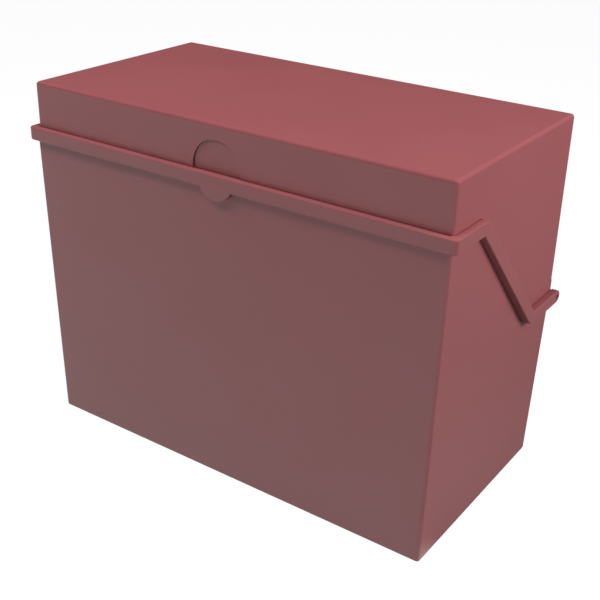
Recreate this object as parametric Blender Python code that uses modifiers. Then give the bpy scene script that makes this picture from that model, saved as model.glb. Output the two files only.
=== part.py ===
"""Flip-top storage box in moulded plastic.

A tapered tub carries a stepped rim: high across the front, down a slope on each side, and low at the
back. A deep lid closes on that rim and turns on two headed pins in the rim's rear ears.

Frame: metres, +Z up, the front faces -Y and the width runs along X. The origin is on the ground, in
the middle of the box.
"""
import math

import bmesh
import bpy
from mathutils import Matrix

# ---------------------------------------------------------------- driving dimensions (metres)
LID_WIDTH = 0.3700            # lid, across its lower edge
LID_DEPTH = 0.1876            # lid, front to back
BOX_HEIGHT = 0.2947           # ground to the top of the lid
WALL = 0.0025                 # every large moulded wall
LID_FRONT_SKIRT = 0.0361      # top of the lid down to the rim's ledge, at the front
LID_REAR_SKIRT = 0.1433       # the same at the back
RIM_FRONT_RUN = 0.0401        # level stretch of the side rim, from the lid's front to the slope
RIM_REAR_RUN = 0.0448         # level stretch of the side rim, from the slope to the lid's back

RIM_HEIGHT = 0.0104           # height of the rim's outer face
RIM_REACH = 0.0058            # ledge outside the lid's wall
RIM_BEND_RADIUS = 0.0020      # inner side of the rim's bends
RIM_EDGE_RADIUS = 0.0010
RIM_CORNER_RADIUS = 0.0045

SIDE_DRAFT = math.radians(0.97)
FRONT_DRAFT = math.radians(0.45)
REAR_DRAFT = math.radians(1.70)
LID_DRAFT = math.radians(0.08)
TUB_SIDE_STEP = 0.0006        # tub's side wall outside the lid's, at the front ledge
TUB_FRONT_STEP = 0.0017       # the same at the front
REAR_GAP = 0.0007             # lid's rear wall to the tub's, which passes behind it, at the hinge

TUB_CORNER_RADIUS = 0.0026
TUB_FOOT_RADIUS = 0.0014
LID_EDGE_RADIUS = 0.0028      # lid's top edges and upright corners
INNER_CORNER_RADIUS = 0.0015
BASE_RECESS = 0.0008          # shallow hollow under the floor
BASE_BORDER = 0.0120          # border that the box stands on
RECESS_CORNER_RADIUS = 0.0060

SEAM = 0.0003                 # lid's edge above the ledge
REAR_SEAM_EXTRA = 0.0004      # the seam opens a little towards the hinge
SHELF_INNER = 0.0052          # inner shelf under the lid's edge, inward from the lid's outer face
SHELF_HEIGHT = 0.0070
SHELF_SINK = 0.0003           # shelf's top below the ledge
LIP_THICKNESS = 0.0018        # upstand inside the lid's side walls
LIP_HEIGHT = 0.0050
LIP_FRONT_SETBACK = 0.0080    # upstand's end behind the lid's front face
LIP_REAR_SETBACK = 0.0130     # upstand's end before the lid's rear face

THUMB_RADIUS = 0.0214         # thumb hollow in the lid's front
THUMB_SHIFT = -0.0030         # its centre left of the middle of the box
THUMB_RISE = 0.0030           # its centre above the ledge
THUMB_DEPTH = 0.0012
THUMB_RELIEF = 0.0002         # the lid's edge is this much higher under the hollow
TAB_RADIUS = 0.0155           # tab that hangs from the front rim
TAB_DROP = 0.0191             # lowest point of the tab below the ledge
TAB_PROUD = 0.0001            # tab's face in front of the rim's

PIN_DIAMETER = 0.0032
PIN_HEAD_DIAMETER = 0.0062
PIN_HEAD_THICKNESS = 0.0010
PIN_CHAMFER = 0.0004
PIN_SINK = 0.0016             # pin's outer end inside the ear's face
LUG_RADIUS = 0.0045           # lid's lug round the pin
LUG_LENGTH = 0.0095
WEB_HEIGHT = 0.0142           # top of the web that joins a lug to the lid, above the axis
AXIS_SETBACK = 0.0003         # axis behind the lid's rear face
REAR_WALL_DROP = 0.0012       # tub's rear wall stops this far below the axis
REAR_OVERLAP = 0.0050         # lid's rear wall reaches this far below the axis, inside the tub

# ---------------------------------------------------------------- fits
FIT = 0.0003                  # between faces that touch
RUN_CLEARANCE = 0.0005        # between a lug and what it turns past
LIP_CLEARANCE = 0.0005        # between the upstand and the lid

# ---------------------------------------------------------------- worked out from the above
HALF_W = LID_WIDTH / 2
HALF_D = LID_DEPTH / 2
LEDGE_FRONT = BOX_HEIGHT - LID_FRONT_SKIRT
LEDGE_REAR = BOX_HEIGHT - LID_REAR_SKIRT
AXIS_Y = HALF_D + AXIS_SETBACK
AXIS_Z = LEDGE_REAR - RIM_HEIGHT / 2
RIM_X = HALF_W + RIM_REACH
RIM_Y = HALF_D + RIM_REACH
BEND_FRONT_Y = RIM_FRONT_RUN - HALF_D
BEND_REAR_Y = HALF_D - RIM_REAR_RUN
SLOPE = math.atan2(LEDGE_FRONT - LEDGE_REAR, BEND_REAR_Y - BEND_FRONT_Y)
REAR_WALL_TOP = AXIS_Z - REAR_WALL_DROP
NOTCH_RADIUS = LUG_RADIUS + RUN_CLEARANCE
EAR_RADIUS = RIM_HEIGHT / 2
LUG_OUTER_X = HALF_W
EAR_INNER_X = LUG_OUTER_X + RUN_CLEARANCE
LUG_INNER_X = LUG_OUTER_X - LUG_LENGTH
WEB_FRONT = LUG_RADIUS - FIT  # the web above a lug starts this far before the axis
BORE_RADIUS = PIN_DIAMETER / 2 + FIT
TUB_REAR_STEP = WALL + REAR_GAP
WALL_MIDDLE_X = HALF_W + TUB_SIDE_STEP - WALL / 2 - (LEDGE_FRONT - LEDGE_REAR) / 2 * math.tan(SIDE_DRAFT)
WALL_MIDDLE_Y = -HALF_D - TUB_FRONT_STEP + WALL / 2
REACH = 0.05                  # how far a cutter stands past what it cuts
OVERSHOOT = 0.005             # the same where a neighbour is near
SAME = 0.000001               # heights closer than this are the same
SHARPEST_BEND = 0.0002        # smallest radius that a bent outline is drawn with
ARC_STEPS = 8
ROUND_STEPS = 40
CORNER_STEPS = 5              # segments round a large corner
EDGE_STEPS = 3                # segments round a broken edge
SHARP_ANGLE = math.radians(35)


# ---------------------------------------------------------------- tub and lid outlines
def tub_side_x(z):
    """Outer face of the tub's side wall at height z."""
    return HALF_W + TUB_SIDE_STEP - (LEDGE_FRONT - z) * math.tan(SIDE_DRAFT)


def tub_front_y(z):
    """Outer face of the tub's front wall at height z."""
    return -HALF_D - TUB_FRONT_STEP + (LEDGE_FRONT - z) * math.tan(FRONT_DRAFT)


def tub_rear_y(z):
    """Outer face of the tub's rear wall at height z."""
    return HALF_D + TUB_REAR_STEP - (AXIS_Z - z) * math.tan(REAR_DRAFT)


def fillet(points, radii):
    """Round each inner corner of a polyline with an arc of its own radius."""
    outline = [points[0]]
    for index in range(1, len(points) - 1):
        before, corner, after = points[index - 1:index + 2]
        a_in = math.atan2(corner[1] - before[1], corner[0] - before[0])
        a_out = math.atan2(after[1] - corner[1], after[0] - corner[0])
        turn = (a_out - a_in + math.pi) % (2 * math.pi) - math.pi
        radius = max(radii[index - 1], SHARPEST_BEND)
        trim = radius * math.tan(abs(turn) / 2)
        side = math.copysign(1.0, turn)
        start = (corner[0] - trim * math.cos(a_in), corner[1] - trim * math.sin(a_in))
        centre = (start[0] - side * radius * math.sin(a_in), start[1] + side * radius * math.cos(a_in))
        for step in range(ARC_STEPS + 1):
            angle = a_in + turn * step / ARC_STEPS
            outline.append((centre[0] + side * radius * math.sin(angle),
                            centre[1] - side * radius * math.cos(angle)))
    outline.append(points[-1])
    return outline


def rim_line(offset, front_y, rear_y, rear_extra=0.0):
    """The ledge's line in the side view, as (y, z) points, raised by offset square to itself."""
    shift = offset * math.tan(SLOPE / 2)
    low = LEDGE_REAR + offset + rear_extra
    points = [(front_y, LEDGE_FRONT + offset),
              (BEND_FRONT_Y + shift, LEDGE_FRONT + offset),
              (BEND_REAR_Y + shift - rear_extra / math.tan(SLOPE), low),
              (rear_y, low)]
    outer = RIM_BEND_RADIUS + RIM_HEIGHT + offset
    inner = RIM_BEND_RADIUS - offset
    return fillet(points, [outer, inner])


# ---------------------------------------------------------------- modelling helpers
def new_collection(name):
    collection = bpy.data.collections.new(name)
    bpy.context.scene.collection.children.link(collection)
    return collection


def material(name, colour, roughness, metallic=0.0):
    made = bpy.data.materials.new(name)
    made.use_nodes = True
    shader = made.node_tree.nodes["Principled BSDF"]
    shader.inputs["Base Color"].default_value = (*colour, 1.0)
    shader.inputs["Roughness"].default_value = roughness
    shader.inputs["Metallic"].default_value = metallic
    return made


def add_object(name, mesh_builder, collection, finish=None):
    """Link a new object whose mesh is what mesh_builder leaves in an empty bmesh."""
    mesh = bpy.data.meshes.new(name)
    build = bmesh.new()
    mesh_builder(build)
    bmesh.ops.recalc_face_normals(build, faces=build.faces)
    build.to_mesh(mesh)
    build.free()
    made = bpy.data.objects.new(name, mesh)
    collection.objects.link(made)
    if finish:
        mesh.materials.append(finish)
    return made


def as_tool(tool):
    """A cutter or a joined-on form is a guide: it is not drawn."""
    tool.hide_render = True
    tool.display_type = "WIRE"
    return tool


def boolean(target, tool, operation):
    step = target.modifiers.new(operation.title() + " " + tool.name, "BOOLEAN")
    step.operation = operation
    step.object = tool
    step.solver = "EXACT"


def round_edges(build, choose, radius, segments):
    edges = [edge for edge in build.edges if choose(edge)]
    bmesh.ops.bevel(build, geom=edges, offset=radius, offset_type="OFFSET", segments=segments,
                    profile=0.5, affect="EDGES", clamp_overlap=True)


def is_upright(edge):
    """True for an edge that runs up a corner, drafted or not."""
    low, high = (vertex.co for vertex in edge.verts)
    return abs(high.z - low.z) > 4 * math.hypot(high.x - low.x, high.y - low.y)


def is_sharp(edge):
    return edge.calc_face_angle(0.0) > SHARP_ANGLE


def lies_at(height):
    """A test for the edges of a level face at that height."""
    return lambda edge: all(abs(vertex.co.z - height) < SAME for vertex in edge.verts)


def block(low, high, corner_x, front_y, rear_y, edges=()):
    """A drafted block: its half width and its front and rear faces are functions of height.

    edges lists (test, radius, segments) for what is rounded, in order.
    """
    def fill(build):
        bmesh.ops.create_cube(build, size=1.0)
        for vertex in build.verts:
            z = high if vertex.co.z > 0 else low
            side = math.copysign(1.0, vertex.co.x)
            y = rear_y(z) if vertex.co.y > 0 else front_y(z)
            vertex.co = (side * corner_x(z), y, z)
        for choose, radius, segments in edges:
            round_edges(build, choose, radius, segments)
    return fill


def prism(outline, axis, start, end, edges=()):
    """A flat outline drawn out along X or Y. It is (y, z) points for X and (x, z) points for Y."""
    def fill(build):
        if axis == "X":
            base = [build.verts.new((start, y, z)) for y, z in outline]
            travel = (end - start, 0, 0)
        else:
            base = [build.verts.new((x, start, z)) for x, z in outline]
            travel = (0, end - start, 0)
        drawn = bmesh.ops.extrude_face_region(build, geom=[build.faces.new(base)])
        moved = [item for item in drawn["geom"] if isinstance(item, bmesh.types.BMVert)]
        bmesh.ops.translate(build, verts=moved, vec=travel)
        bmesh.ops.recalc_face_normals(build, faces=build.faces)
        for choose, radius, segments in edges:
            round_edges(build, choose, radius, segments)
    return fill


def cylinder(radius, start, end, axis, steps=ROUND_STEPS, middle=(0.0, 0.0)):
    """A closed cylinder along X or Y between start and end; middle is its place on the other axes."""
    def fill(build):
        bmesh.ops.create_cone(build, cap_ends=True, segments=steps, radius1=radius, radius2=radius,
                              depth=end - start)
        if axis == "X":
            turn = Matrix.Rotation(math.pi / 2, 4, "Y")
            place = Matrix.Translation(((start + end) / 2, middle[0], middle[1]))
        else:
            turn = Matrix.Rotation(math.pi / 2, 4, "X")
            place = Matrix.Translation((middle[0], (start + end) / 2, middle[1]))
        bmesh.ops.transform(build, matrix=place @ turn, verts=build.verts)
    return fill


def box(x_low, x_high, y_low, y_high, z_low, z_high, edges=()):
    def fill(build):
        bmesh.ops.create_cube(build, size=1.0)
        for vertex in build.verts:
            vertex.co = (x_high if vertex.co.x > 0 else x_low,
                         y_high if vertex.co.y > 0 else y_low,
                         z_high if vertex.co.z > 0 else z_low)
        for choose, radius, segments in edges:
            round_edges(build, choose, radius, segments)
    return fill


def shade(target):
    """Smooth shading with sharp creases kept."""
    target.data.shade_smooth()
    target.data.set_sharp_from_angle(angle=SHARP_ANGLE)


def sides():
    """The two sides of the box, as a sign and a name."""
    return ((-1, "left"), (1, "right"))


def span(side, inner, outer):
    """An X range on one side of the box, lowest value first."""
    return sorted((side * inner, side * outer))


# ---------------------------------------------------------------- tub
def tub_shell(parts, tools, finish):
    """The tapered tub: outer form less the inside, less all above the middle of the rim."""
    tub = add_object("tub", block(
        0.0, LEDGE_FRONT, tub_side_x, tub_front_y, tub_rear_y,
        [(is_upright, TUB_CORNER_RADIUS, CORNER_STEPS), (lies_at(0.0), TUB_FOOT_RADIUS, EDGE_STEPS)]),
        parts, finish)
    inside = as_tool(add_object("tub_inside", block(
        WALL + BASE_RECESS, LEDGE_FRONT + REACH,
        lambda z: tub_side_x(z) - WALL, lambda z: tub_front_y(z) + WALL, lambda z: tub_rear_y(z) - WALL,
        [(is_upright, INNER_CORNER_RADIUS, EDGE_STEPS)]), tools))
    boolean(tub, inside, "DIFFERENCE")
    under = as_tool(add_object("base_recess", box(
        BASE_BORDER - tub_side_x(0), tub_side_x(0) - BASE_BORDER,
        tub_front_y(0) + BASE_BORDER, tub_rear_y(0) - BASE_BORDER, -REACH, BASE_RECESS,
        [(is_upright, RECESS_CORNER_RADIUS, CORNER_STEPS)]), tools))
    boolean(tub, under, "DIFFERENCE")
    seat_front = AXIS_Y - NOTCH_RADIUS - FIT
    line = rim_line(-RIM_HEIGHT / 2, -HALF_D - REACH, seat_front)
    line += [(seat_front, REAR_WALL_TOP), (HALF_D + REACH, REAR_WALL_TOP)]
    line += [(HALF_D + REACH, LEDGE_FRONT + REACH), (-HALF_D - REACH, LEDGE_FRONT + REACH)]
    above = as_tool(add_object("above_rim", prism(line, "X", -HALF_W - REACH, HALF_W + REACH), tools))
    boolean(tub, above, "DIFFERENCE")
    return tub


def rim_outline():
    """Side view of the rim from its front face to the round end of the ear."""
    upper = rim_line(0.0, -RIM_Y, AXIS_Y)
    lower = rim_line(-RIM_HEIGHT, -RIM_Y, AXIS_Y)
    steps = ROUND_STEPS // 2
    ear = []
    for step in range(1, steps):
        angle = math.pi / 2 - math.pi * step / steps
        ear.append((AXIS_Y + EAR_RADIUS * math.cos(angle), AXIS_Z + EAR_RADIUS * math.sin(angle)))
    return upper + ear + lower[::-1]


def is_rim_corner(edge):
    """True for the rim's upright edges at the front."""
    return is_upright(edge) and all(vertex.co.y < -RIM_Y + FIT for vertex in edge.verts)


def add_rim(tub, tools):
    """The solid rim runs along the front and both sides and ends in the hinge ears."""
    rim = as_tool(add_object("rim", prism(
        rim_outline(), "X", -RIM_X, RIM_X,
        [(is_rim_corner, RIM_CORNER_RADIUS, CORNER_STEPS),
         (is_sharp, RIM_EDGE_RADIUS, EDGE_STEPS)]), tools))
    inside = as_tool(add_object("rim_inside", box(
        -WALL_MIDDLE_X, WALL_MIDDLE_X, WALL_MIDDLE_Y, RIM_Y + REACH,
        LEDGE_REAR - REACH, LEDGE_FRONT + REACH), tools))
    boolean(rim, inside, "DIFFERENCE")
    sweep_radius = math.hypot(WEB_FRONT, EAR_RADIUS) + RUN_CLEARANCE
    for side, name in sides():
        low, high = span(side, WALL_MIDDLE_X - WALL / 2, EAR_INNER_X)
        sweep = as_tool(add_object("corner_sweep_" + name, cylinder(
            sweep_radius, low, high, "X", ROUND_STEPS, (AXIS_Y, AXIS_Z)), tools))
        boolean(rim, sweep, "DIFFERENCE")
    boolean(tub, rim, "UNION")


def add_tab(tub, tools):
    """A round tab that hangs from the middle of the front rim, solid back to the tub's wall."""
    centre_z = LEDGE_FRONT - TAB_DROP + TAB_RADIUS
    top_z = LEDGE_FRONT - RIM_HEIGHT / 2
    end_angle = math.asin(min(1.0, (top_z - centre_z) / TAB_RADIUS))
    outline = []
    for step in range(ROUND_STEPS + 1):
        angle = end_angle - (math.pi + 2 * end_angle) * step / ROUND_STEPS
        outline.append((TAB_RADIUS * math.cos(angle), centre_z + TAB_RADIUS * math.sin(angle)))
    front = -RIM_Y - TAB_PROUD

    def is_lower_front(edge):
        in_front = all(vertex.co.y < front + FIT / 2 for vertex in edge.verts)
        return in_front and is_sharp(edge) and any(vertex.co.z < top_z - FIT for vertex in edge.verts)

    tab = as_tool(add_object("tab", prism(
        outline, "Y", front, WALL_MIDDLE_Y, [(is_lower_front, RIM_EDGE_RADIUS, EDGE_STEPS)]), tools))
    boolean(tub, tab, "UNION")


def add_shelf(tub, tools):
    """Inside the rim: a shelf under the lid's edge, and an upstand inside the lid's side walls."""
    shelf_x = HALF_W - SHELF_INNER
    shelf_y = HALF_D - SHELF_INNER
    wall_x = WALL_MIDDLE_X + FIT
    wall_y = WALL_MIDDLE_Y - FIT
    rear_end = HALF_D - LIP_REAR_SETBACK
    outline = rim_line(-SHELF_SINK, wall_y, rear_end)
    outline += rim_line(-SHELF_SINK - SHELF_HEIGHT, wall_y, rear_end)[::-1]
    shelf = as_tool(add_object("shelf", prism(outline, "X", -wall_x, wall_x), tools))
    inside = as_tool(add_object("shelf_inside", box(
        -shelf_x, shelf_x, -shelf_y, rear_end + REACH, LEDGE_REAR - REACH, LEDGE_FRONT + REACH), tools))
    boolean(shelf, inside, "DIFFERENCE")
    boolean(tub, shelf, "UNION")
    lip_outer = HALF_W - WALL - LIP_CLEARANCE
    lip_front = -HALF_D + LIP_FRONT_SETBACK
    lip_end = rear_end - FIT
    for side, name in sides():
        low, high = span(side, lip_outer - LIP_THICKNESS, lip_outer)
        outline = rim_line(LIP_HEIGHT, lip_front, lip_end)
        outline += rim_line(-SHELF_HEIGHT / 2, lip_front, lip_end)[::-1]
        lip = as_tool(add_object("lip_" + name, prism(outline, "X", low, high), tools))
        boolean(tub, lip, "UNION")


def cut_hinge_seats(tub, tools):
    """Room for the lid's lugs in the tub's rear corners, and the bores in the ears."""
    for side, name in sides():
        seat_start = LUG_INNER_X - FIT - PIN_HEAD_THICKNESS - RUN_CLEARANCE
        low, high = span(side, seat_start, EAR_INNER_X)
        seat = as_tool(add_object("lug_seat_" + name, cylinder(
            NOTCH_RADIUS, low, high, "X", ROUND_STEPS, (AXIS_Y, AXIS_Z)), tools))
        boolean(tub, seat, "DIFFERENCE")
        low, high = span(side, EAR_INNER_X - OVERSHOOT, RIM_X + REACH)
        bore = as_tool(add_object("ear_bore_" + name, cylinder(
            BORE_RADIUS, low, high, "X", ROUND_STEPS, (AXIS_Y, AXIS_Z)), tools))
        boolean(tub, bore, "DIFFERENCE")


# ---------------------------------------------------------------- lid
def lid_side_x(z):
    """Outer face of the lid's side wall at height z: full width at the rear ledge."""
    return HALF_W - (z - AXIS_Z) * math.tan(LID_DRAFT)


def lid_front_y(z):
    """Outer face of the lid's front wall at height z."""
    return -HALF_D + (z - LEDGE_FRONT) * math.tan(LID_DRAFT)


def lid_rear_y(_z):
    """The rear wall is upright, so that it swings in the plane of the axis."""
    return HALF_D


def lid_edge_line():
    """The lid's lower edge in the side view, down to the overlap behind the tub's rear wall."""
    inner_rear = HALF_D - WALL
    line = rim_line(SEAM, -HALF_D - REACH, inner_rear, REAR_SEAM_EXTRA)
    low = AXIS_Z - REAR_OVERLAP
    return line + [(inner_rear, low), (HALF_D + REACH, low)]


def lid_shell(parts, tools, finish):
    """The deep lid: outer form less the inside, less all below its edge line."""
    bottom = AXIS_Z - REAR_OVERLAP
    at_top = lies_at(BOX_HEIGHT)
    lid = add_object("lid", block(
        bottom, BOX_HEIGHT, lid_side_x, lid_front_y, lid_rear_y,
        [(lambda edge: is_upright(edge) or at_top(edge), LID_EDGE_RADIUS, CORNER_STEPS)]),
        parts, finish)
    inside = as_tool(add_object("lid_inside", block(
        bottom - REACH, BOX_HEIGHT - WALL,
        lambda z: lid_side_x(z) - WALL, lambda z: lid_front_y(z) + WALL, lambda z: lid_rear_y(z) - WALL,
        [(is_upright, INNER_CORNER_RADIUS, EDGE_STEPS)]), tools))
    boolean(lid, inside, "DIFFERENCE")
    line = lid_edge_line()
    line += [(HALF_D + REACH, bottom - 2 * REACH), (-HALF_D - REACH, bottom - 2 * REACH)]
    below = as_tool(add_object("below_lid", prism(line, "X", -HALF_W - REACH, HALF_W + REACH), tools))
    boolean(lid, below, "DIFFERENCE")
    return lid


def add_lugs(lid, tools):
    """Trim the rear wall's overlap to fit between the seats, then add the lugs that take the pins."""
    free_x = LUG_INNER_X - PIN_HEAD_THICKNESS - 3 * RUN_CLEARANCE
    for side, name in sides():
        low, high = span(side, free_x, HALF_W + REACH)
        corner = as_tool(add_object("corner_trim_" + name, box(
            low, high, HALF_D - 2 * WALL, HALF_D + REACH, AXIS_Z - REAR_OVERLAP - REACH,
            AXIS_Z + PIN_HEAD_DIAMETER / 2 + RUN_CLEARANCE), tools))
        boolean(lid, corner, "DIFFERENCE")
        low, high = span(side, LUG_INNER_X, LUG_OUTER_X)
        lug = as_tool(add_object("lug_" + name, cylinder(
            LUG_RADIUS, low, high, "X", ROUND_STEPS, (AXIS_Y, AXIS_Z)), tools))
        boolean(lid, lug, "UNION")
        web = as_tool(add_object("lug_web_" + name, box(
            low, high, AXIS_Y - WEB_FRONT, HALF_D - WALL / 2, AXIS_Z, AXIS_Z + WEB_HEIGHT), tools))
        boolean(lid, web, "UNION")
        low, high = span(side, LUG_INNER_X - OVERSHOOT, LUG_OUTER_X + OVERSHOOT)
        bore = as_tool(add_object("lug_bore_" + name, cylinder(
            BORE_RADIUS, low, high, "X", ROUND_STEPS, (AXIS_Y, AXIS_Z)), tools))
        boolean(lid, bore, "DIFFERENCE")


def add_thumb_hollow(lid, tools):
    """A shallow round hollow in the lid's front, backed by a pad so that the wall stays as thick."""
    middle = (THUMB_SHIFT, LEDGE_FRONT + THUMB_RISE)
    face = -HALF_D
    pad = as_tool(add_object("thumb_pad", cylinder(
        THUMB_RADIUS + WALL, face + WALL / 2, face + WALL + THUMB_DEPTH, "Y", 2 * ROUND_STEPS, middle),
        tools))
    below = as_tool(add_object("thumb_pad_trim", box(
        -REACH, REACH, face - REACH, 0.0, LEDGE_FRONT - REACH, LEDGE_FRONT + SEAM), tools))
    boolean(pad, below, "DIFFERENCE")
    boolean(lid, pad, "UNION")
    hollow = as_tool(add_object("thumb_hollow", cylinder(
        THUMB_RADIUS, face - REACH, face + THUMB_DEPTH, "Y", 2 * ROUND_STEPS, middle), tools))
    boolean(lid, hollow, "DIFFERENCE")
    relief_x = math.sqrt(THUMB_RADIUS ** 2 - THUMB_RISE ** 2)
    relief = as_tool(add_object("thumb_relief", box(
        THUMB_SHIFT - relief_x, THUMB_SHIFT + relief_x, face - REACH, face + WALL + THUMB_DEPTH + OVERSHOOT,
        LEDGE_FRONT - OVERSHOOT, LEDGE_FRONT + SEAM + THUMB_RELIEF), tools))
    boolean(lid, relief, "DIFFERENCE")


# ---------------------------------------------------------------- pins
def hinge_pin(name, side, parts, finish):
    """A headed pin turned about the axis: its head is inside, its end sits in the ear's bore."""
    head_x = LUG_INNER_X - FIT
    end_x = RIM_X - PIN_SINK
    mesh = bpy.data.meshes.new(name)
    pin = bpy.data.objects.new(name, mesh)
    parts.objects.link(pin)
    radius = PIN_DIAMETER / 2
    head_radius = PIN_HEAD_DIAMETER / 2
    head_end_x = head_x - PIN_HEAD_THICKNESS
    profile = [(0.0, end_x), (radius - PIN_CHAMFER, end_x), (radius, end_x - PIN_CHAMFER),
               (radius, head_x), (head_radius, head_x), (head_radius, head_end_x), (0.0, head_end_x)]
    build = bmesh.new()
    verts = [build.verts.new((outward, 0.0, along)) for outward, along in profile]
    for first, second in zip(verts, verts[1:]):
        build.edges.new((first, second))
    build.to_mesh(mesh)
    build.free()
    mesh.materials.append(finish)
    screw = pin.modifiers.new("Turn", "SCREW")
    screw.axis = "Z"
    screw.steps = ROUND_STEPS
    screw.render_steps = ROUND_STEPS
    screw.use_merge_vertices = True
    screw.merge_threshold = SAME
    screw.use_smooth_shade = True
    pin.location = (0.0, AXIS_Y, AXIS_Z)
    pin.rotation_euler = (0.0, side * math.pi / 2, 0.0)
    return pin


# ---------------------------------------------------------------- assembly
def clear_scene():
    for item in list(bpy.data.objects):
        bpy.data.objects.remove(item, do_unlink=True)


def main():
    clear_scene()
    parts = new_collection("storage_box")
    tools = new_collection("cutters")
    tub_finish = material("tub_plastic", (0.305, 0.082, 0.095), 0.45)
    lid_finish = material("lid_plastic", (0.320, 0.084, 0.098), 0.45)
    pin_finish = material("pin_steel", (0.45, 0.44, 0.43), 0.35, 1.0)

    hinge = bpy.data.objects.new("hinge_axis", None)
    hinge.location = (0.0, AXIS_Y, AXIS_Z)
    parts.objects.link(hinge)

    tub = tub_shell(parts, tools, tub_finish)
    add_rim(tub, tools)
    add_tab(tub, tools)
    add_shelf(tub, tools)
    cut_hinge_seats(tub, tools)
    shade(tub)

    lid = lid_shell(parts, tools, lid_finish)
    add_lugs(lid, tools)
    add_thumb_hollow(lid, tools)
    shade(lid)
    lid.parent = hinge
    lid.matrix_parent_inverse = Matrix.Translation((0.0, -AXIS_Y, -AXIS_Z))

    for side, name in sides():
        hinge_pin("hinge_pin_" + name, side, parts, pin_finish)


main()
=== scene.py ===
"""Looks of the flip-top storage box: moulded plastic, hinge pins, a pale studio and the camera."""

import math

import bmesh
import bpy
from mathutils import Matrix, Vector

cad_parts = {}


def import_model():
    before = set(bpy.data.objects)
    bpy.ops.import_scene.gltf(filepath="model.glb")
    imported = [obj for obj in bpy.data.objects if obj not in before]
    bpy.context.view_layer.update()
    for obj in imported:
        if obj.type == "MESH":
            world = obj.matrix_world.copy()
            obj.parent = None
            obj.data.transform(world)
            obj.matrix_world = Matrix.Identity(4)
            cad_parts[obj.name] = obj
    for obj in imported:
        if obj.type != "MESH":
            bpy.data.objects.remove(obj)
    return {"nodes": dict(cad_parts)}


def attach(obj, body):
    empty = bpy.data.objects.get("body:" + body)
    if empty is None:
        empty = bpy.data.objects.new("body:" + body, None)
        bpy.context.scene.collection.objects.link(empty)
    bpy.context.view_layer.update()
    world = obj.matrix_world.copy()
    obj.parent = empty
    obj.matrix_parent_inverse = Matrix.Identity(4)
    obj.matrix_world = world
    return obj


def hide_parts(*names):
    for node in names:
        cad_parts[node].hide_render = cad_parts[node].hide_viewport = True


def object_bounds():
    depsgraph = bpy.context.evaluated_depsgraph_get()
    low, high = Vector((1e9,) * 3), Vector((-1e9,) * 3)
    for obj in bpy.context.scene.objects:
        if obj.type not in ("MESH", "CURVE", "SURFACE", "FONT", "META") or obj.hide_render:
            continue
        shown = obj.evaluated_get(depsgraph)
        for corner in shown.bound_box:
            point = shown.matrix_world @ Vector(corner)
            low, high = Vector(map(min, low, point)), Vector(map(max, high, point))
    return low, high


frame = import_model()
cad_low, cad_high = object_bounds()

# ---------------------------------------------------------------- named values (metres, degrees)
SAME_POINT = 0.000001           # corners closer than this are one corner
FLAT_ANGLE = math.radians(0.4)  # faces that meet at less than this are one flat face
CREASE_ANGLE = math.radians(35)

LID_RED = (0.325, 0.094, 0.101)
TUB_RED = (0.317, 0.097, 0.103)
STEEL = (0.42, 0.41, 0.40)
TARNISH = (0.27, 0.24, 0.21)

SEAM_LOW, SEAM_HIGH = 0.25885, 0.25915      # heights between which the lid's front edge lies
SEAM_CLOSED = 0.25868           # that edge is drawn at this height, close above the ledge

BOX_MIDDLE = (cad_low.z + cad_high.z) / 2

CAMERA_AT = (0.4408, -0.6329, 0.5033)
CAMERA_AZIMUTH = 34.40
CAMERA_ELEVATION = 26.25
CAMERA_ROLL = -1.41
CAMERA_LENS = 62.03             # millimetres, on a sensor 36 mm wide
SENSOR_WIDTH = 36.0
CLIP_NEAR, CLIP_FAR = 0.01, 100.0

FLOOR_SIZE = 12.0
FLOOR_GAP = 0.0002              # the floor is this far below the box
FLOOR_BOUNCE = 0.12             # how pale the floor is for the light that it throws back on the box
FLOOR_GLOW = 0.95               # what the floor adds of its own where the camera sees it
# painted reflection: the floor glows for glossy rays only, as brightly as the values below say
SHEEN_FRONT = 1.58              # how bright the box's front sees the floor mirrored in itself
SHEEN_ALONG_X = 1.10            # how fast that grows to the right, per metre
SHEEN_ALONG_Y = -1.20           # and towards the camera
SHEEN_RIGHT = 0.34              # how bright the foot of the right side sees the floor
SHEEN_FAR = 0.08                # the same for the top of the right side
SHEEN_TURNS = (0.085, 0.125)    # x + y at which the front's floor sheen gives way to the right side's
SHEEN_FADES = (0.20, 0.50)      # x + y between which the right side's sheen falls from its foot to its top
FLOOR_ROUGHNESS = 0.9
AMBIENT = 0.10
AMBIENT_SHEEN = 0.02

# name, azimuth, elevation, distance, size, strength: as softbox() takes them
LAMPS = (
    ("overhead", 47.0, 81.3, 1.27, 0.10, 0.43),
    ("above_front", -12.0, 60.0, 1.5, 0.4, 0.20),
    ("left_front", -60.0, 45.0, 1.1, 0.3, 0.30),
    ("right_low", 96.0, 24.0, 0.95, 0.4, 0.68),
)

# noise scales are cells per metre; bump distances are metres
CLOUD_SCALE = 14.0              # slow changes of tone across the moulding
CLOUD_TONE = (0.95, 1.05)
CLOUD_ROUGHNESS = (0.41, 0.50)
SPECK_SCALE = 620.0
SPECK_EDGE = (0.66, 0.74)       # noise values between which a mark comes in
SPECK_TONE = -0.05
HAIR_SCALE = (9.0, 900.0, 260.0)
HAIR_EDGE = (0.68, 0.76)
WORN_SCALE = 22.0               # patches that have been handled most, where the hairlines are
WORN_EDGE = (0.45, 0.70)
WORN_TONE, WORN_ROUGHNESS = 0.07, 0.10
GRAIN_SCALE, GRAIN_COARSE_SCALE = 2600.0, 900.0
GRAIN_DEPTH, GRAIN_STRENGTH = 0.00006, 0.40
SCRATCH_DEPTH, SCRATCH_STRENGTH = 0.00003, 0.30
FLOW_SCALE = 9.0
FLOW_DEPTH, FLOW_STRENGTH = 0.0012, 0.10
TUB_HAIRS_TURN = (0.0, 25.0, 8.0)
LID_HAIRS_TURN = (0.0, -12.0, 20.0)

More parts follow.
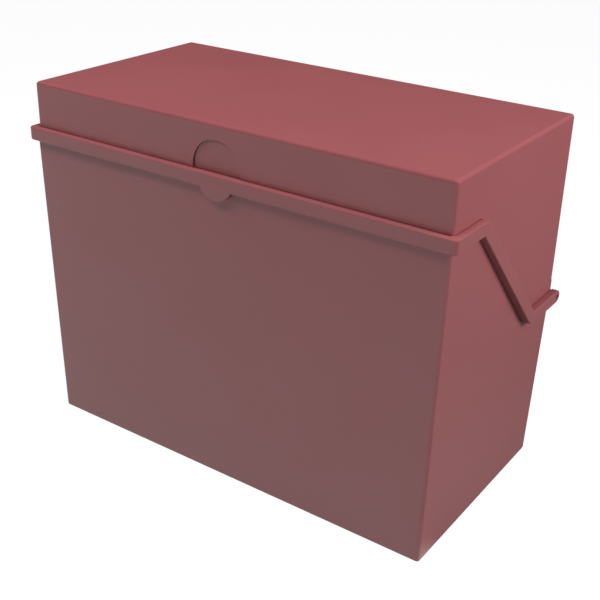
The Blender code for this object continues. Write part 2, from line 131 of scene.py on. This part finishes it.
RING_SCALE = (9000.0, 500.0, 500.0)
RING_ROUGHNESS = (0.26, 0.40)
RING_DEPTH, RING_STRENGTH = 0.00002, 0.40
TARNISH_SCALE = 420.0
TARNISH_EDGE = (0.45, 0.75)
TARNISH_COVER, TARNISH_ROUGHNESS = 0.6, 0.15


# ---------------------------------------------------------------- pieces
def moulding(name, node, body, finish):
    """The CAD node's own shape, with its facets joined and its curved stretches shaded smooth."""
    mesh = frame["nodes"][node].data.copy()
    mesh.name = name
    build = bmesh.new()
    build.from_mesh(mesh)
    bmesh.ops.remove_doubles(build, verts=build.verts, dist=SAME_POINT)
    bmesh.ops.dissolve_limit(build, angle_limit=FLAT_ANGLE, verts=build.verts, edges=build.edges)
    for vertex in build.verts:
        if node == "lid" and SEAM_LOW < vertex.co.z < SEAM_HIGH:
            vertex.co.z = SEAM_CLOSED
    bmesh.ops.recalc_face_normals(build, faces=build.faces)
    build.to_mesh(mesh)
    build.free()
    if "custom_normal" in mesh.attributes:
        mesh.attributes.remove(mesh.attributes["custom_normal"])
    mesh.shade_smooth()
    mesh.set_sharp_from_angle(angle=CREASE_ANGLE)
    mesh.materials.clear()
    mesh.materials.append(finish)
    piece = bpy.data.objects.new(name, mesh)
    bpy.context.scene.collection.objects.link(piece)
    weighted = piece.modifiers.new("Flat faces stay flat", "WEIGHTED_NORMAL")
    weighted.keep_sharp = True
    weighted.weight = 100
    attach(piece, body)
    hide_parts(node)
    return piece


# ---------------------------------------------------------------- materials
class Nodes:
    """Short calls for building a node tree."""

    def __init__(self, tree):
        self.tree = tree

    def add(self, kind, **settings):
        node = self.tree.nodes.new(kind)
        for key, value in settings.items():
            setattr(node, key, value)
        return node

    def link(self, source, target):
        self.tree.links.new(source, target)


def new_material(name):
    made = bpy.data.materials.new(name)
    made.use_nodes = True
    return made, Nodes(made.node_tree), made.node_tree.nodes["Principled BSDF"]


def noise(nodes, coordinates, scale, detail):
    node = nodes.add("ShaderNodeTexNoise")
    node.inputs["Scale"].default_value = scale
    node.inputs["Detail"].default_value = detail
    nodes.link(coordinates, node.inputs["Vector"])
    return node.outputs["Fac"]


def ramp(nodes, value, start, end, low, high):
    """Map start..end to low..high, which may be sockets."""
    node = nodes.add("ShaderNodeMapRange")
    nodes.link(value, node.inputs["Value"])
    node.inputs["From Min"].default_value = start
    node.inputs["From Max"].default_value = end
    for name, bound in (("To Min", low), ("To Max", high)):
        if isinstance(bound, float):
            node.inputs[name].default_value = bound
        else:
            nodes.link(bound, node.inputs[name])
    return node.outputs["Result"]


def spread(nodes, value, low, high):
    """Map 0..1 to low..high."""
    return ramp(nodes, value, 0.0, 1.0, low, high)


def product(nodes, first, second):
    node = nodes.add("ShaderNodeMath", operation="MULTIPLY")
    nodes.link(first, node.inputs[0])
    if isinstance(second, float):
        node.inputs[1].default_value = second
    else:
        nodes.link(second, node.inputs[1])
    return node.outputs["Value"]


def total(nodes, first, second):
    node = nodes.add("ShaderNodeMath", operation="ADD")
    nodes.link(first, node.inputs[0])
    nodes.link(second, node.inputs[1])
    return node.outputs["Value"]


def bump(nodes, height, distance, strength, below=None):
    node = nodes.add("ShaderNodeBump")
    node.inputs["Strength"].default_value = strength
    node.inputs["Distance"].default_value = distance
    nodes.link(height, node.inputs["Height"])
    if below:
        nodes.link(below, node.inputs["Normal"])
    return node.outputs["Normal"]


def marks(nodes, value, edge):
    """Turn noise into separate marks: 0 below the edge's first value, 1 above its second."""
    return ramp(nodes, value, edge[0], edge[1], 0.0, 1.0)


def stretched(nodes, coordinates, scale, turn=(0.0, 0.0, 0.0)):
    """Coordinates squeezed differently along each axis, for marks that run one way."""
    node = nodes.add("ShaderNodeMapping")
    node.inputs["Scale"].default_value = scale
    node.inputs["Rotation"].default_value = [math.radians(angle) for angle in turn]
    nodes.link(coordinates, node.inputs["Vector"])
    return node.outputs["Vector"]


def moulded_plastic(name, colour, hairs_turn):
    """Satin moulded plastic: fine spark texture, faint flow marks, hairlines and light handling wear."""
    made, nodes, shader = new_material(name)
    coordinates = nodes.add("ShaderNodeTexCoord").outputs["Object"]

    clouds = noise(nodes, coordinates, CLOUD_SCALE, 4.0)
    specks = marks(nodes, noise(nodes, coordinates, SPECK_SCALE, 2.0), SPECK_EDGE)
    along_hairs = stretched(nodes, coordinates, HAIR_SCALE, hairs_turn)
    hairs = marks(nodes, noise(nodes, along_hairs, 1.0, 3.0), HAIR_EDGE)
    patches = marks(nodes, noise(nodes, coordinates, WORN_SCALE, 3.0), WORN_EDGE)
    wear = product(nodes, hairs, patches)

    marked = total(nodes, product(nodes, wear, WORN_TONE), product(nodes, specks, SPECK_TONE))
    shade = nodes.add("ShaderNodeHueSaturation")
    shade.inputs["Color"].default_value = (*colour, 1.0)
    nodes.link(total(nodes, spread(nodes, clouds, *CLOUD_TONE), marked), shade.inputs["Value"])
    nodes.link(shade.outputs["Color"], shader.inputs["Base Color"])
    dullness = total(nodes, spread(nodes, clouds, *CLOUD_ROUGHNESS), product(nodes, wear, WORN_ROUGHNESS))
    nodes.link(dullness, shader.inputs["Roughness"])

    coarse = product(nodes, noise(nodes, coordinates, GRAIN_COARSE_SCALE, 2.0), 0.5)
    grain = total(nodes, noise(nodes, coordinates, GRAIN_SCALE, 2.0), coarse)
    fine = bump(nodes, grain, GRAIN_DEPTH, GRAIN_STRENGTH)
    scratched = bump(nodes, wear, SCRATCH_DEPTH, SCRATCH_STRENGTH, fine)
    flow = bump(nodes, noise(nodes, coordinates, FLOW_SCALE, 2.0), FLOW_DEPTH, FLOW_STRENGTH, scratched)
    nodes.link(flow, shader.inputs["Normal"])
    return made


def pin_metal():
    """Turned steel: fine rings round the pin, a slightly uneven sheen and a trace of tarnish."""
    made, nodes, shader = new_material("pin_steel")
    coordinates = nodes.add("ShaderNodeTexCoord").outputs["Object"]
    rings = noise(nodes, stretched(nodes, coordinates, RING_SCALE), 1.0, 2.0)
    tarnish = marks(nodes, noise(nodes, coordinates, TARNISH_SCALE, 4.0), TARNISH_EDGE)
    shade = nodes.add("ShaderNodeMix", data_type="RGBA")
    shade.inputs["A"].default_value = (*STEEL, 1.0)
    shade.inputs["B"].default_value = (*TARNISH, 1.0)
    nodes.link(product(nodes, tarnish, TARNISH_COVER), shade.inputs["Factor"])
    nodes.link(shade.outputs["Result"], shader.inputs["Base Color"])
    shader.inputs["Metallic"].default_value = 1.0
    uneven = total(nodes, spread(nodes, rings, *RING_ROUGHNESS), product(nodes, tarnish, TARNISH_ROUGHNESS))
    nodes.link(uneven, shader.inputs["Roughness"])
    nodes.link(bump(nodes, rings, RING_DEPTH, RING_STRENGTH), shader.inputs["Normal"])
    return made


# ---------------------------------------------------------------- studio
def floor():
    """A wide white floor whose glow keeps the shadow faint; for reflections alone it glows more, by place, a
    painted reflection on the box that fades to the right of the box.
    """
    bpy.ops.mesh.primitive_plane_add(size=FLOOR_SIZE, location=(0, 0, cad_low.z - FLOOR_GAP))
    plane = bpy.context.object
    plane.name = "floor"
    made, nodes, shader = new_material("floor_paper")
    rays = nodes.add("ShaderNodeLightPath").outputs
    place = nodes.add("ShaderNodeSeparateXYZ")
    nodes.link(nodes.add("ShaderNodeTexCoord").outputs["Object"], place.inputs["Vector"])
    across = total(nodes, place.outputs["X"], place.outputs["Y"])
    # painted reflection: glow that only reflections see, strongest before the box's front and fading to its
    # right
    before = total(nodes, product(nodes, place.outputs["X"], SHEEN_ALONG_X),
                   product(nodes, place.outputs["Y"], SHEEN_ALONG_Y))
    beside = ramp(nodes, across, *SHEEN_FADES, SHEEN_RIGHT, SHEEN_FAR)
    in_front = spread(nodes, before, SHEEN_FRONT, SHEEN_FRONT + 1.0)
    fade = ramp(nodes, across, *SHEEN_TURNS, in_front, beside)
    sheen = product(nodes, rays["Is Glossy Ray"], fade)
    glow = product(nodes, rays["Is Camera Ray"], FLOOR_GLOW)
    nodes.link(total(nodes, sheen, glow), shader.inputs["Emission Strength"])
    shader.inputs["Emission Color"].default_value = (1.0, 1.0, 1.0, 1.0)
    shader.inputs["Base Color"].default_value = (FLOOR_BOUNCE, FLOOR_BOUNCE, FLOOR_BOUNCE, 1.0)
    shader.inputs["Roughness"].default_value = FLOOR_ROUGHNESS
    shader.inputs["Specular IOR Level"].default_value = 0.0
    made.cycles.emission_sampling = "NONE"
    plane.data.materials.append(made)


def world():
    """Dim even light from all round; the camera itself sees white."""
    made = bpy.data.worlds.new("studio")
    bpy.context.scene.world = made
    made.use_nodes = True
    nodes = Nodes(made.node_tree)
    background = made.node_tree.nodes["Background"]
    background.inputs["Color"].default_value = (1.0, 1.0, 1.0, 1.0)
    rays = nodes.add("ShaderNodeLightPath").outputs
    dim = spread(nodes, rays["Is Glossy Ray"], AMBIENT, AMBIENT_SHEEN)
    nodes.link(total(nodes, dim, rays["Is Camera Ray"]), background.inputs["Strength"])


def towards(azimuth, elevation, distance):
    """A place seen from the box's centre: azimuth from the front towards the right, in degrees."""
    turn, rise = math.radians(azimuth), math.radians(elevation)
    return Vector((distance * math.sin(turn) * math.cos(rise), -distance * math.cos(turn) * math.cos(rise),
                   BOX_MIDDLE + distance * math.sin(rise)))


def softbox(name, azimuth, elevation, distance, size, strength):
    """A square lamp aimed at the box's centre, which shows in no reflection.

    Its strength is what it gives a white face that looks at it.
    """
    data = bpy.data.lights.new(name, "AREA")
    data.shape = "SQUARE"
    data.size = size
    data.energy = strength * (math.pi * distance) ** 2
    lamp = bpy.data.objects.new(name, data)
    bpy.context.scene.collection.objects.link(lamp)
    lamp.location = towards(azimuth, elevation, distance)
    lamp.rotation_euler = (Vector((0.0, 0.0, BOX_MIDDLE)) - lamp.location).to_track_quat("-Z", "Y").to_euler()
    lamp.visible_glossy = False


def camera():
    azimuth, elevation, roll = (math.radians(v) for v in (CAMERA_AZIMUTH, CAMERA_ELEVATION, CAMERA_ROLL))
    back = Vector((math.sin(azimuth) * math.cos(elevation), -math.cos(azimuth) * math.cos(elevation),
                   math.sin(elevation)))
    level = Vector((math.cos(azimuth), math.sin(azimuth), 0.0))
    up = back.cross(level)
    right = math.cos(roll) * level - math.sin(roll) * up
    up = back.cross(right)
    data = bpy.data.cameras.new("camera")
    data.sensor_width = SENSOR_WIDTH
    data.lens = CAMERA_LENS
    data.clip_start, data.clip_end = CLIP_NEAR, CLIP_FAR
    shooter = bpy.data.objects.new("camera", data)
    bpy.context.scene.collection.objects.link(shooter)
    turn = Matrix((right, up, back)).transposed().to_4x4()
    shooter.matrix_world = Matrix.Translation(CAMERA_AT) @ turn
    bpy.context.scene.camera = shooter


def main():
    tub_finish = moulded_plastic("tub_plastic", TUB_RED, TUB_HAIRS_TURN)
    lid_finish = moulded_plastic("lid_plastic", LID_RED, LID_HAIRS_TURN)
    steel = pin_metal()
    moulding("tub_moulding", "tub", "tub", tub_finish)
    moulding("lid_moulding", "lid", "lid", lid_finish)
    for side in ("left", "right"):
        moulding("pin_" + side, "hinge_pin_" + side, "tub", steel)
    floor()
    world()
    for lamp in LAMPS:
        softbox(*lamp)
    camera()
    bpy.context.scene.view_settings.view_transform = "Standard"


main()
